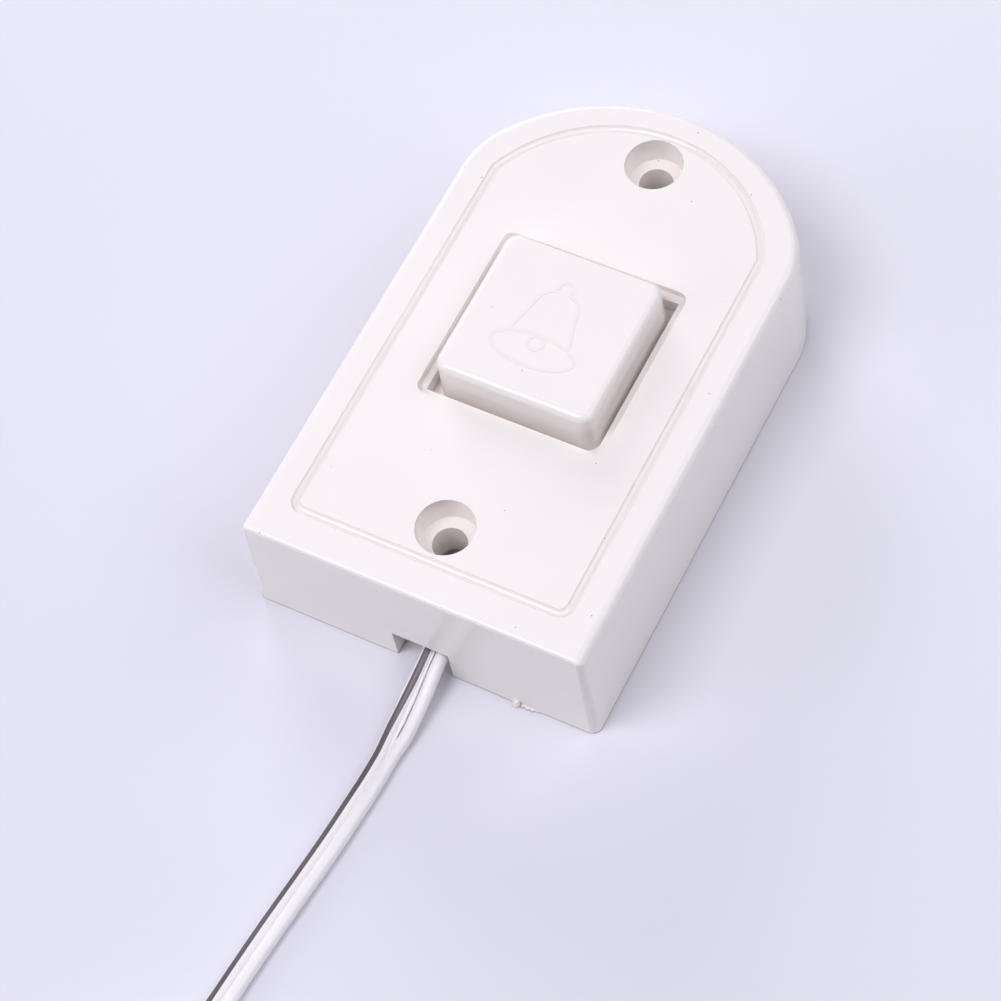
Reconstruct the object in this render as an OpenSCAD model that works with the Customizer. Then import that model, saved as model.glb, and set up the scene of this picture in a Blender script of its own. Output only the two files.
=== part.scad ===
// Wired doorbell push: an arched housing that lies or mounts on its flat back, with one square
// button, a sprung contact bridge, two screw terminals and a flat twin lead wound into a coil.
// +Z points out of the front face, +Y runs from the cable end to the arch, and the origin is the
// middle of the back.

/* [Housing] */
// Width across the back edge
body_w = 45.2; // [42:0.1:48]
// Length along the back edge
body_l = 73; // [66:0.5:84]
// Height of the front face above the back
body_h = 18; // [17:0.5:24]
// Radius of the arched end at the back edge
arch_r = 25; // [24.5:0.1:34]
// Thickness of the walls and of the front face
wall = 2; // [1.6:0.1:2.4]
// Draft of the outer walls in degrees
draft = 1.3; // [0.6:0.1:1.6]
// Radius of the face's edge along the sides and the arch
edge_r = 1.1; // [0.6:0.1:1.4]
// Radius of the face's edge at the cable end
end_edge_r = 0.5; // [0.3:0.05:1]
// Radius of the upright edges at the cable end
corner_r = 1.2; // [1:0.1:3]
// Radius that eases the arch into each side wall
crease_r = 12; // [3:0.5:15]
// Width of the cable notch
notch_w = 7.5; // [6.8:0.1:9]
// Height of the cable notch above the back
notch_h = 5.3; // [4.4:0.1:7]
// Place of the notch's middle from the centre line
notch_x = -0.3; // [-0.4:0.05:0.2]

/* [Face groove] */
// Distance from the sides and the cable end of the face to the groove
groove_margin = 3.7; // [3:0.1:4.4]
// Distance from the top of the arch to the groove
groove_arch_margin = 3.4; // [2.8:0.1:3.8]
// Radius of the groove's arched end
groove_arch_r = 20; // [19.4:0.1:28]
// Radius of the groove's two rounded corners
groove_corner_r = 2; // [1.2:0.1:4]
// Width of the groove
groove_w = 1.15; // [0.9:0.05:1.4]
// Depth of the groove, which is round at the bottom
groove_d = 0.5; // [0.2:0.05:0.55]

/* [Mounting holes] */
// Distance of the lower screw hole from the cable end
hole_end = 9.4; // [9:0.1:10.4]
// Distance of the upper screw hole from the top of the arch
hole_arch = 8.6; // [8.4:0.1:10]
// Diameter of the screw holes
hole_d = 4.3; // [3.4:0.1:4.8]
// Diameter of the counterbores
head_d = 7.3; // [6.4:0.1:8]
// Depth of the counterbores
head_depth = 4; // [2.5:0.1:6]
// Length of the screw holes below the counterbores, before they open out
bore_l = 5.2; // [4:0.1:7]
// Diameter they open out to behind that
relief_d = 6.4; // [5:0.1:7]
// Wall round each counterbore
tube_wall = 1.5; // [1:0.1:1.6]

/* [Button] */
// Side of the square cap
cap_w = 21; // [18:0.1:22]
// Height of the cap above the front face
cap_proud = 3.8; // [3:0.1:6]
// Radius of the cap's upright corners
cap_corner_r = 2; // [1.5:0.1:4]
// Radius of the cap's rounded top edge
cap_edge_r = 0.9; // [0.6:0.1:1.1]
// Wall of the hollow cap
cap_wall = 1.8; // [1.4:0.1:2.4]
// Gap between the cap and its hole in the face
cap_gap = 0.7; // [0.4:0.05:1]
// Distance the button travels when pressed
travel = 2; // [1.2:0.1:2.4]
// Distance of the button's middle from the middle of the back, towards the arch
cap_y = 0.2; // [-0.4:0.1:0.8]
// Width of the ledge round the hole
ledge_w = 1; // [0.6:0.1:1.3]
// Depth of the ledge below the face
ledge_d = 1; // [0.6:0.1:1.2]
// Radius of the ledge's outer corners
ledge_corner_r = 1.2; // [0.4:0.1:2]
// Thickness of the rim under the face round the hole, which the flange rests against
rim_t = 1; // [0.6:0.1:1.4]
// Reach of the cap's flange under the rim, past the hole
flange_reach = 1.2; // [0.8:0.1:1.4]
// Thickness of the flange
flange_t = 1.6; // [1.2:0.1:2]
// Running gap round the flange inside its collar
flange_gap = 0.3; // [0.2:0.05:0.4]
// Wall of the collar that guides the flange
collar_wall = 1.2; // [0.8:0.1:1.4]
// Diameter of the stem under the cap
stem_d = 7; // [6:0.1:8]
// Diameter of the pin at the stem's end
pin_d = 3.6; // [3:0.1:4.2]
// Length of the pin below the contact bridge
pin_l = 2.4; // [1.6:0.1:2.6]

/* [Bell mark] */
// Width of the bell across its lip
bell_w = 10.8; // [8:0.1:14]
// Height of the bell from lip to crown
bell_h = 12; // [9:0.5:14]
// Width of the raised line
bell_line = 0.5; // [0.3:0.05:0.6]
// Height of the raised line
bell_raise = 0.1; // [0.1:0.05:0.4]
// Place of the bell's middle from the cap's middle
bell_x = -0.3; // [-1:0.1:1]

/* [Back plate] */
// Thickness of the back plate
plate_t = 1.8; // [1.6:0.1:2.2]
// Gap between the plate and the housing walls
plate_gap = 0.2; // [0.1:0.05:0.3]
// Shank diameter of the plate's screws
plate_screw_d = 2.2; // [1.8:0.1:2.6]
// Length of the plate's screws
plate_screw_l = 9; // [7:0.5:12]
// Wall round the shank in each screw boss
boss_wall = 1.6; // [1.2:0.1:1.7]
// Distance of the bosses from the inner side walls
boss_inset = 3.2; // [3:0.1:3.4]
// Distance of the lower bosses from the inner end wall
boss_low = 4; // [3.4:0.1:6]
// Distance of the upper bosses past the arch's centre
boss_high = 5.4; // [2:0.1:6]

/* [Contacts] */
// Height of the pads that carry the contact strips
pad_h = 2.2; // [1.8:0.1:2.8]
// Thickness of the contact strips
strip_t = 0.5; // [0.4:0.05:0.7]
// Width of the contact strips
strip_w = 5; // [4.6:0.1:5.4]
// Distance of each strip's middle from the centre line
strip_x = 9.5; // [9.2:0.1:9.8]
// Diameter of the contact rivets' heads
contact_d = 3.4; // [2.6:0.1:4]
// Height of the contact rivets' heads
contact_h = 0.6; // [0.4:0.05:0.8]
// Diameter of the contact rivets' shanks
rivet_d = 1.6; // [1.2:0.1:1.8]
// Gap that is left between the contacts at full press
contact_rest = 0.1; // [0.05:0.05:0.3]
// Thickness of the contact bridge
bridge_t = 0.6; // [0.4:0.05:0.8]
// Width of the contact bridge
bridge_w = 6; // [5.6:0.1:8]
// Outer diameter of the return spring
spring_d = 7.2; // [6.4:0.1:7.8]
// Wire of the return spring
spring_wire = 0.6; // [0.4:0.05:0.65]
// Turns of the return spring
spring_turns = 4.5; // [3:0.5:5]

/* [Terminals] */
// Shank diameter of the terminal screws
term_d = 2.9; // [2.4:0.1:3.2]
// Head diameter of the terminal screws
term_head_d = 5.4; // [4.6:0.1:6]
// Head height of the terminal screws
term_head_h = 1.9; // [1.4:0.1:2.4]
// Diameter of the clamp washers
washer_d = 6.2; // [5.6:0.1:6.6]
// Thickness of the clamp washers
washer_t = 0.6; // [0.4:0.05:0.8]
// Distance of the terminals from the lower screw hole, towards the arch
term_up = 9.6; // [9:0.1:11]
// Floor left under the hole of each terminal screw
term_floor = 0.6; // [0.4:0.1:1]

/* [Cord] */
// Diameter of one insulated core
core_d = 1.65; // [1.5:0.05:1.7]
// Diameter of the copper conductor
wire_d = 0.8; // [0.6:0.05:0.9]
// Radius of the coil's innermost turn
coil_in = 10; // [9:0.5:12]
// Step from one turn of the coil to the next
coil_step = 2.8; // [2.8:0.1:3.2]
// Turns in each of the coil's two layers
coil_turns = 6; // [4:1:7]
// Gap between the coil's two layers
layer_gap = 0.75; // [0.75:0.05:1.2]
// Thickness of the tie's band
tie_t = 0.5; // [0.3:0.05:0.5]
// Width of the tie's band
tie_w = 2.5; // [2:0.1:4]
// Gap between the tie and the coil
tie_gap = 0.25; // [0.25:0.05:0.5]
// Gap between the leads and the lower screw tube
lead_gap = 0.5; // [0.4:0.05:0.6]
// Place of the left core in the notch, from the centre line
exit_x = 0.55; // [0:0.05:0.6]

/* [Hidden] */
$fn = 64;

// Length by which a cutting tool runs past what it cuts
over = 1;
// Clearance of a screw, rivet or pin in its hole, on the diameter
fit = 0.2;
// Gap under a flange, spring or washer that only rests on its seat
seat = 0.05;
// Amount by which a rounding stands proud of what it joins
hair = 0.01;

// Plan of the housing at its back edge
half_w = body_w / 2;
front_y = -body_l / 2;
arch_y = body_l / 2 - arch_r;
lean = body_h * tan(draft);
ceiling = body_h - wall;
far = body_l + body_w;

// Plan of the cavity, which clears the leaning walls by the wall thickness at the face
shell = wall + lean;
cavity_w = half_w - shell;
cavity_y = front_y + shell;
cavity_r = arch_r - shell;

// Mounting holes
hole_low = front_y + hole_end;
hole_places = [hole_low, body_l / 2 - hole_arch];
tube_d = head_d + 2 * tube_wall;

// Heights of the button, from the flange under the face to the cap's top
cap_top = body_h + cap_proud;
rim_z = ceiling - rim_t;
flange_top = rim_z - seat;
flange_z = flange_top - flange_t;
hole_w = cap_w + 2 * cap_gap;
flange_w = hole_w + 2 * flange_reach;
collar_in = flange_w + 2 * flange_gap;
collar_out = collar_in + 2 * collar_wall;
collar_z = flange_z - travel - over / 2;

// Heights of the contact stack, from the pads up to the bridge
strip_z = plate_t + pad_h;
strip_top = strip_z + strip_t;
contact_top = strip_top + contact_h;
bridge_z = contact_top + contact_rest + travel + contact_h;
bridge_top = bridge_z + bridge_t;
bridge_l = 2 * strip_x + contact_d + bridge_t * 2;
pin_z = bridge_z - pin_l;

// Terminals above the lower screw hole
term_y = hole_low + term_up;
strip_front = term_y - washer_d / 2 - seat;
strip_back = cap_y + contact_d;
washer_z = strip_top + wire_d + seat;
head_z = washer_z + washer_t;
term_depth = strip_z - term_floor - fit;

// Bosses of the plate's screws
boss_d = plate_screw_d + fit + 2 * boss_wall;
boss_x = cavity_w - boss_inset;
boss_places = [
    for (x = [-boss_x, boss_x], y = [cavity_y + boss_low, arch_y + boss_high]) [x, y]
];
plate_head_d = 2 * plate_screw_d;
plate_head_h = plate_screw_d / 2;

// Flat twin cord: two cores side by side
cord_w = 2 * core_d;
lead_z = plate_t + core_d / 2 + fit / 2;
lie_z = core_d / 2;

// Point at a distance outside the cable end, and point beside the lower screw tube at an angle
function out(x, d, z = lie_z) = [x, front_y - d, z];
lead_r = tube_d / 2 + core_d / 2 + lead_gap;
function beside(a) = [lead_r * cos(a), hole_low + lead_r * sin(a), lead_z];

// Route of each core from its terminal down to the plate, round the tube and out through the notch
exit_right = exit_x + core_d + 2 * seat;
exit_z = notch_h - 0.85 * core_d;
lead_top = [strip_x - 0.8 * core_d, strip_front - 0.6 * core_d, strip_top + core_d / 4];
climb_out = [0, 0, 0.05, 0.2];
function sink(top, low, s) = low + (top - low) * (1 - s) + [0, 0, (low - top)[2] * (1 - s) * s];
function lead_route(top, angles, x) = concat(
    [for (s = [0, 0.35, 0.65]) sink(top, beside(angles[0]), s)],
    [for (i = [0:3]) beside(angles[i]) + [0, 0, climb_out[i] * (exit_z - lead_z)]],
    [
        out((beside(angles[3])[0] + 2 * x) / 3, -1.3 * core_d, lead_z + 0.6 * (exit_z - lead_z)),
        out(x, -core_d / 2, exit_z)
    ]
);
lead_left_route = lead_route(
    [-lead_top[0], lead_top[1], lead_top[2]], [195, 217, 238, 256], exit_x
);
lead_right_route = lead_route(lead_top, [-15, -35, -53, -67], exit_right);

// Route of each core from there to the place where the pair joins
function down(s) = lie_z + (exit_z - lie_z) * s;
core_left_route = [
    out(exit_x, -core_d / 2, exit_z), out(exit_x, 1.5, down(0.82)), out(0.45, 4, down(0.56)),
    out(0.35, 7, down(0.29)), out(0.3, 10, down(0.09)), out(0.4, 13)
];
core_right_route = [
    out(exit_right, -core_d / 2, exit_z), out(exit_right, 1.5, down(0.82)), out(2.38, 4, down(0.56)),
    out(2.42, 7, down(0.29)), out(2.38, 10, down(0.09)), out(2.1, 13)
];

// Route of the joined pair from there to the coil, with the roll that stands it on edge
run_route = [
    out(1.25, 13), out(1.2, 16.5), out(0.95, 20.5), out(0.6, 25.5), out(0, 31.5), out(-0.6, 37),
    out(-1.1, 42.5), out(-1.5, 47.5), out(-2, 51, 1.1), out(-2.9, 54.2, 1.6), out(-4.2, 57.3, 2),
    out(-5.9, 60.3, 2.25), out(-7.9, 63.1, 2.25)
];
run_roll = [0, 0, 0, 0, 0, 0, 0, 0, 25, 50, 75, 90, 90];

// Coil: spirals in on the lower layer, climbs in half a turn and spirals out on the upper one
coil_rings = 24;
coil_from = 140;
coil_out = coil_in + coil_step * coil_turns;
coil_start = run_route[len(run_route) - 1];
coil_heading = [-sin(coil_from), cos(coil_from), 0];
coil_mid = coil_start + cord_w * coil_heading - coil_out * [cos(coil_from), sin(coil_from), 0];
layer_h = cord_w + layer_gap;

// Route of the free end from the coil's top layer down beside it, lying flat again
tail_start = coil_start + 2 * cord_w * coil_heading + [0, 0, layer_h];
tail_route = [
    tail_start, out(-14.8, 71.2, 6), out(-17.4, 74.8, 4.8), out(-19.4, 78.7, 3.4), out(-20.6, 82.7, 2),
    out(-21, 86.7, 1.1), out(-21.2, 90.3)
];
tail_roll = [90, 90, 75, 50, 25, 8, 0];
tail_left_route = [out(-22.03, 90.3), out(-22.6, 93.8), out(-23.2, 96.8)];
tail_right_route = [out(-20.37, 90.3), out(-20, 93.8), out(-19.4, 96.8)];
tip_l = 5;

plastic_white = [0.94, 0.93, 0.93];
cord_white = [0.9, 0.88, 0.87];
brass_tone = [0.78, 0.62, 0.33];
steel_tone = [0.72, 0.73, 0.75];
copper_tone = [0.78, 0.47, 0.31];

// Right half of an upright section: leaning side and rounded top edge
module half_section(reach, h, round_r) {
    mid = reach - (h - round_r) * tan(draft) - round_r / cos(draft);
    polygon([
        [0, 0], [reach, 0], [mid + round_r * cos(draft), h - round_r + round_r * sin(draft)],
        [mid, h], [0, h]
    ]);
    translate([mid, h - round_r])
        intersection() {
            circle(round_r);
            square(round_r);
        }
}

// Bar of that section along Y, mirrored about the middle
module drafted_bar(width, h, round_r, length) {
    rotate([90, 0, 0])
        linear_extrude(length, center = true)
            for (side = [0, 1])
                mirror([side, 0])
                    half_section(width / 2, h, round_r);
}

// Everything outside a rounded upright corner, between two directions in plan
module corner_cut(place, r, h, round_r, from, to) {
    reach = 3 * r;
    translate(place)
        difference() {
            translate([0, 0, -over])
                linear_extrude(h + 2 * over)
                    polygon([
                        [0, 0], reach * [cos(from), sin(from)],
                        reach * 1.5 * [cos((from + to) / 2), sin((from + to) / 2)],
                        reach * [cos(to), sin(to)]
                    ]);
            rotate_extrude() half_section(r + hair, h + hair, round_r);
            translate([0, 0, -2 * over]) cylinder(r = r + hair, h = 2 * over);
        }
}

// Square block with leaning walls, rounded top edge and rounded upright corners
module rounded_block(width, h, round_r, upright_r) {
    straight = width - 2 * upright_r;
    drafted_bar(width, h, round_r, straight);
    rotate([0, 0, 90]) drafted_bar(width, h, round_r, straight);
    for (quarter = [0:3])
        rotate([0, 0, 90 * quarter])
            translate([straight / 2, straight / 2, 0])
                rotate_extrude(angle = 90) half_section(upright_r + hair, h, round_r);
}

// Plan inside a straight-sided outline with one arched end
module arched_plan(half, low, r, mid_y) {
    intersection() {
        translate([-half, low]) square([2 * half, far]);
        union() {
            translate([0, mid_y]) circle(r);
            translate([-far, mid_y - far]) square([2 * far, far]);
        }
    }
}

// Square with rounded corners, about its middle
module rounded_square(side, r) {
    square([side, side - 2 * r], center = true);
    square([side - 2 * r, side], center = true);
    for (x = [-1, 1], y = [-1, 1])
        translate((side / 2 - r) * [x, y]) circle(r);
}

// Outside of the housing, with the solid still whole
module housing_block() {
    crease_x = half_w - crease_r;
    crease_y = arch_y + sqrt(pow(arch_r - crease_r, 2) - pow(crease_x, 2));
    crease_to = atan2(crease_y - arch_y, crease_x);
    difference() {
        intersection() {
            drafted_bar(body_w, body_h, edge_r, 2 * far);
            rotate([0, 0, -90])
                rotate([90, 0, 0])
                    linear_extrude(2 * far, center = true) {
                        half_section(-front_y, body_h, end_edge_r);
                        translate([-far, 0]) square([far, body_h]);
                    }
            union() {
                translate([0, arch_y, 0])
                    rotate_extrude($fn = 180) half_section(arch_r, body_h, edge_r);
                translate([-far / 2, arch_y - far, 0]) cube([far, far, body_h]);
            }
        }
        for (side = [0, 1])
            mirror([side, 0, 0]) {
                corner_cut(
                    [half_w - corner_r, front_y + corner_r, 0], corner_r, body_h, end_edge_r, -90, 0
                );
                corner_cut([crease_x, crease_y, 0], crease_r, body_h, edge_r, 0, crease_to);
            }
    }
}

// Round-bottomed groove along the face: two sides, the cable end, its corners and the arch
module face_groove() {
    mid = groove_w / 2;
    edge = groove_margin + lean + mid;
    half = half_w - edge;
    low = front_y + edge;
    turn_r = groove_corner_r - mid;
    ring_r = groove_arch_r - mid;
    ring_y = body_l / 2 - lean - groove_arch_margin - groove_arch_r;
    meet = acos(min(half / ring_r, 1));
    meet_y = ring_y + ring_r * sin(meet);
    tool_r = (mid * mid + groove_d * groove_d) / (2 * groove_d);
    translate([0, 0, body_h - groove_d + tool_r]) {
        for (side = [-1, 1]) {
            translate([side * half, low + turn_r, 0])
                rotate([-90, 0, 0]) cylinder(r = tool_r, h = meet_y - low - turn_r);
            translate([side * half, meet_y, 0]) sphere(tool_r + hair);
            translate([side * (half - turn_r), low + turn_r, 0])
                rotate([0, 0, -135 + 45 * side])
                    rotate_extrude(angle = 90) translate([turn_r, 0]) circle(tool_r);
        }
        translate([turn_r - half, low, 0])
            rotate([0, 90, 0]) cylinder(r = tool_r, h = 2 * (half - turn_r));
        translate([0, ring_y, 0])
            rotate([0, 0, meet])
                rotate_extrude(angle = 180 - 2 * meet, $fn = 180)
                    translate([ring_r, 0]) circle(tool_r, $fn = 64);
    }
}

module front_housing() {
    rooted = ceiling + wall / 2;
    color(plastic_white)
        difference() {
            union() {
                difference() {
                    housing_block();
                    translate([0, 0, -over])
                        linear_extrude(ceiling + over)
                            arched_plan(cavity_w, cavity_y, cavity_r, arch_y);
                }
                for (y = hole_places)
                    translate([0, y, plate_t]) cylinder(d = tube_d, h = rooted - plate_t);
                for (place = boss_places)
                    translate([place[0], place[1], plate_t]) cylinder(d = boss_d, h = rooted - plate_t);
                translate([0, cap_y, (collar_z + rooted) / 2])
                    cube([collar_out, collar_out, rooted - collar_z], center = true);
            }
            face_groove();
            for (y = hole_places)
                translate([0, y, 0]) {
                    cylinder(d = hole_d, h = body_h + over);
                    translate([0, 0, body_h - head_depth])
                        cylinder(d = head_d, h = head_depth + over);
                    cylinder(d = relief_d, h = body_h - head_depth - bore_l);
                }
            for (place = boss_places)
                translate([place[0], place[1], 0])
                    cylinder(d = plate_screw_d + fit, h = plate_screw_l + over);
            translate([0, cap_y, (collar_z + rim_z) / 2 - over / 2])
                cube([collar_in, collar_in, rim_z - collar_z + over], center = true);
            translate([0, cap_y, body_h])
                cube([hole_w, hole_w, 2 * (wall + rim_t + over)], center = true);
            translate([0, cap_y, body_h - ledge_d])
                linear_extrude(ledge_d + over)
                    rounded_square(hole_w + 2 * ledge_w, ledge_corner_r);
            translate([notch_x - notch_w / 2, front_y - over, -over])
                cube([notch_w, shell + 2 * over, notch_h + over]);
        }
}

// Line of even width along points in the plane
function across(points, i) =
    let (
        before = points[max(i - 1, 0)],
        after = points[min(i + 1, len(points) - 1)],
        along = (after - before) / norm(after - before)
    )
    [-along[1], along[0]];

module stroke(points, width) {
    last = len(points) - 1;
    polygon(concat(
        [for (i = [0:last]) points[i] + across(points, i) * width / 2],
        [for (i = [last:-1:0]) points[i] - across(points, i) * width / 2]
    ));
}

module oval(half_x, half_y) {
    polygon([for (a = [0:10:350]) [half_x * cos(a), half_y * sin(a)]]);
}

// Bell in outline: crown, body that flares to the lip, open mouth and clapper
module bell_mark() {
    lip_y = -0.325 * bell_h;
    lip_h = 0.18 * bell_h;
    flare = [0.47 * bell_w, lip_y + 0.42 * lip_h];
    hip = [0.34 * bell_w, -0.1 * bell_h];
    shoulder = [0.25 * bell_w, 0.217 * bell_h];
    brow = 0.175 * bell_h;
    crown_r = 0.08 * bell_h;
    crown_y = shoulder[1] + brow + crown_r / 2;
    flank = concat(
        [
            for (a = [0:22.5:90])
                [flare[0] - (flare[0] - hip[0]) * sin(a), flare[1] + (hip[1] - flare[1]) * (1 - cos(a))]
        ],
        [for (a = [0:15:75]) [shoulder[0] * cos(a), shoulder[1] + brow * sin(a)]]
    );
    for (side = [0, 1])
        mirror([side, 0]) stroke(flank, bell_line);
    translate([0, lip_y])
        difference() {
            oval(bell_w / 2 + bell_line / 2, lip_h + bell_line / 2);
            oval(bell_w / 2 - bell_line / 2, lip_h - bell_line / 2);
        }
    stroke([for (a = [-20:20:200]) [crown_r * cos(a), crown_y + crown_r * sin(a)]], bell_line);
    translate([0, lip_y + lip_h / 2])
        difference() {
            circle(crown_r + bell_line / 2);
            circle(crown_r - bell_line / 2);
        }
}

module button_cap() {
    inner = cap_w - 2 * cap_wall;
    rooted = cap_top - cap_wall / 2;
    color(plastic_white)
        translate([0, cap_y, 0]) {
            difference() {
                union() {
                    translate([0, 0, flange_z])
                        rounded_block(cap_w, cap_top - flange_z, cap_edge_r, cap_corner_r);
                    translate([0, 0, flange_z + flange_t / 2])
                        cube([flange_w, flange_w, flange_t], center = true);
                }
                translate([0, 0, (flange_z + cap_top - cap_wall) / 2 - over / 2])
                    cube([inner, inner, cap_top - cap_wall - flange_z + over], center = true);
            }
            for (turn = [0, 90])
                rotate([0, 0, turn])
                    translate([0, 0, (flange_z + rooted) / 2])
                        cube([inner + cap_wall, cap_wall, rooted - flange_z], center = true);
            translate([0, 0, bridge_top]) cylinder(d = stem_d, h = rooted - bridge_top);
            translate([0, 0, pin_z]) cylinder(d = pin_d, h = rooted - pin_z);
            translate([0, 0, rooted])
                linear_extrude(cap_wall / 2 + bell_raise)
                    translate([bell_x, 0]) bell_mark();
        }
}

// Frame along a route: direction, level side and what is upright to both
function along(route, i) =
    let (step = route[min(i + 1, len(route) - 1)] - route[max(i - 1, 0)])
    step / norm(step);
function level(d) = let (s = cross(d, [0, 0, 1])) s / norm(s);

// Ring of a section at one point of a route, rolled about the route
function ring(route, roll, section, i) =
    let (d = along(route, i), s = level(d), u = cross(s, d))
    [
        for (p = section)
            route[i]
            + s * (p[0] * cos(roll[i]) - p[1] * sin(roll[i]))
            + u * (p[0] * sin(roll[i]) + p[1] * cos(roll[i]))
    ];

// One closed tube through rings of points, with a centre point in each end
module tube(rings, first, last) {
    count = len(rings);
    sides = len(rings[0]);
    points = concat([for (r = rings) each r], [first, last]);
    walls = [
        for (i = [0:count - 2], k = [0:sides - 1])
            let (a = i * sides + k, b = i * sides + (k + 1) % sides)
            each [[a, b, a + sides], [b, b + sides, a + sides]]
    ];
    ends = [
        for (k = [0:sides - 1])
            let (n = (k + 1) % sides, top = (count - 1) * sides)
            each [[count * sides, n, k], [count * sides + 1, top + k, top + n]]
    ];
    polyhedron(points, concat(walls, ends));
}

module sweep(route, section, roll = undef) {
    turn = is_undef(roll) ? [for (p = route) 0] : roll;
    last = len(route) - 1;
    tube([for (i = [0:last]) ring(route, turn, section, i)], route[0], route[last]);
}

function round_section(d, sides) =
    [for (k = [0:sides - 1]) d / 2 * [cos(360 * k / sides), sin(360 * k / sides)]];

// Flat twin: two lobes with a waist between them
waist = 0.3 * core_d;
twin_section = [
    [core_d, 0], [core_d / 2, core_d / 2], [0, waist], [-core_d / 2, core_d / 2],
    [-core_d, 0], [-core_d / 2, -core_d / 2], [0, -waist], [core_d / 2, -core_d / 2]
];

// The same cord with fewer sides, for the coil
coil_section = [
    [core_d, 0], [core_d / 2, core_d / 2], [-core_d / 2, core_d / 2],
    [-core_d, 0], [-core_d / 2, -core_d / 2], [core_d / 2, -core_d / 2]
];

module return_spring() {
    rings = 12;
    steps = spring_turns * rings;
    low = plate_t + seat + spring_wire / 2;
    rise = bridge_z - seat - spring_wire / 2 - low;
    mid_r = (spring_d - spring_wire) / 2;
    route = [
        for (i = [0:steps])
            let (a = 360 * i / rings)
            [mid_r * cos(a), cap_y + mid_r * sin(a), low + rise * i / steps]
    ];
    echo(spring_gap = rise / spring_turns - spring_wire);
    color(steel_tone) sweep(route, round_section(spring_wire, 6));
}

module contact_bridge() {
    color(brass_tone)
        translate([0, cap_y, bridge_z])
            difference() {
                union() {
                    translate([-bridge_l / 2 + bridge_w / 2, -bridge_w / 2, 0])
                        cube([bridge_l - bridge_w, bridge_w, bridge_t]);
                    for (x = [-1, 1])
                        translate([x * (bridge_l - bridge_w) / 2, 0, 0])
                            cylinder(d = bridge_w, h = bridge_t);
                }
                translate([0, 0, -over]) cylinder(d = pin_d + fit, h = bridge_t + 2 * over);
                for (x = [-strip_x, strip_x])
                    translate([x, 0, -over]) cylinder(d = rivet_d + fit, h = bridge_t + 2 * over);
            }
}

module bridge_contacts() {
    color(steel_tone)
        for (x = [-strip_x, strip_x])
            translate([x, cap_y, bridge_z]) {
                translate([0, 0, -contact_h]) cylinder(d = contact_d, h = contact_h);
                cylinder(d = rivet_d, h = bridge_t);
                translate([0, 0, bridge_t]) cylinder(d = (contact_d + rivet_d) / 2, h = contact_h / 2);
            }
}

module contact_strip(side) {
    color(brass_tone)
        difference() {
            translate([side * strip_x - strip_w / 2, strip_front, strip_z])
                cube([strip_w, strip_back - strip_front, strip_t]);
            translate([side * strip_x, term_y, strip_z - over])
                cylinder(d = term_d + fit, h = strip_t + 2 * over);
            translate([side * strip_x, cap_y, strip_z - over])
                cylinder(d = rivet_d + fit, h = strip_t + 2 * over);
        }
}

module contact_strip_left() {
    contact_strip(-1);
}

module contact_strip_right() {
    contact_strip(1);
}

module fixed_contacts() {
    color(steel_tone)
        for (x = [-strip_x, strip_x])
            translate([x, cap_y, strip_z]) {
                cylinder(d = rivet_d, h = strip_t);
                translate([0, 0, strip_t]) cylinder(d = contact_d, h = contact_h);
            }
}

module terminal_screws() {
    shank = head_z - strip_z + term_depth;
    color(steel_tone)
        for (x = [-strip_x, strip_x])
            translate([x, term_y, head_z])
                difference() {
                    union() {
                        cylinder(d = term_head_d, h = term_head_h);
                        translate([0, 0, -shank]) cylinder(d = term_d, h = shank);
                    }
                    translate([0, 0, term_head_h])
                        cube([term_head_d + over, term_head_d / 6, term_head_h], center = true);
                }
}

module terminal_washers() {
    color(steel_tone)
        for (x = [-strip_x, strip_x])
            translate([x, term_y, washer_z])
                difference() {
                    cylinder(d = washer_d, h = washer_t);
                    translate([0, 0, -over]) cylinder(d = term_d + fit, h = washer_t + 2 * over);
                }
}

module back_plate() {
    cup_in = spring_d + 2 * fit;
    cup_out = cup_in + wall;
    color(plastic_white)
        difference() {
            union() {
                linear_extrude(plate_t)
                    arched_plan(
                        cavity_w - plate_gap, cavity_y + plate_gap, cavity_r - plate_gap, arch_y
                    );
                for (x = [-strip_x, strip_x])
                    translate([x - strip_w / 2, strip_front, plate_t / 2])
                        cube([strip_w, strip_back - strip_front, pad_h + plate_t / 2]);
                translate([0, cap_y, plate_t / 2]) cylinder(d = cup_out, h = plate_t / 2 + pad_h);
            }
            translate([0, cap_y, plate_t]) cylinder(d = cup_in, h = pad_h + over);
            for (y = hole_places)
                translate([0, y, -over]) cylinder(d = hole_d, h = plate_t + 2 * over);
            for (x = [-strip_x, strip_x])
                translate([x, term_y, term_floor])
                    cylinder(d = term_d + fit, h = strip_z - term_floor + over);
            for (place = boss_places)
                translate([place[0], place[1], 0]) {
                    translate([0, 0, -over]) cylinder(d = plate_screw_d + fit, h = plate_t + 2 * over);
                    cylinder(d1 = plate_head_d + fit, d2 = plate_screw_d + fit, h = plate_head_h);
                    translate([0, 0, -over]) cylinder(d = plate_head_d + fit, h = over);
                }
        }
}

module back_plate_screws() {
    color(steel_tone)
        for (place = boss_places)
            translate([place[0], place[1], 0])
                difference() {
                    union() {
                        translate([0, 0, seat])
                            cylinder(d1 = plate_head_d, d2 = plate_screw_d, h = plate_head_h);
                        translate([0, 0, plate_head_h])
                            cylinder(d = plate_screw_d, h = plate_screw_l - plate_head_h);
                    }
                    for (turn = [0, 90])
                        rotate([0, 0, turn])
                            cube([plate_screw_d, plate_screw_d / 4, plate_head_h], center = true);
                }
}

module lead_left() {
    color(cord_white) sweep(lead_left_route, round_section(core_d, 8));
}

module lead_right() {
    color(cord_white) sweep(lead_right_route, round_section(core_d, 8));
}

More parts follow.
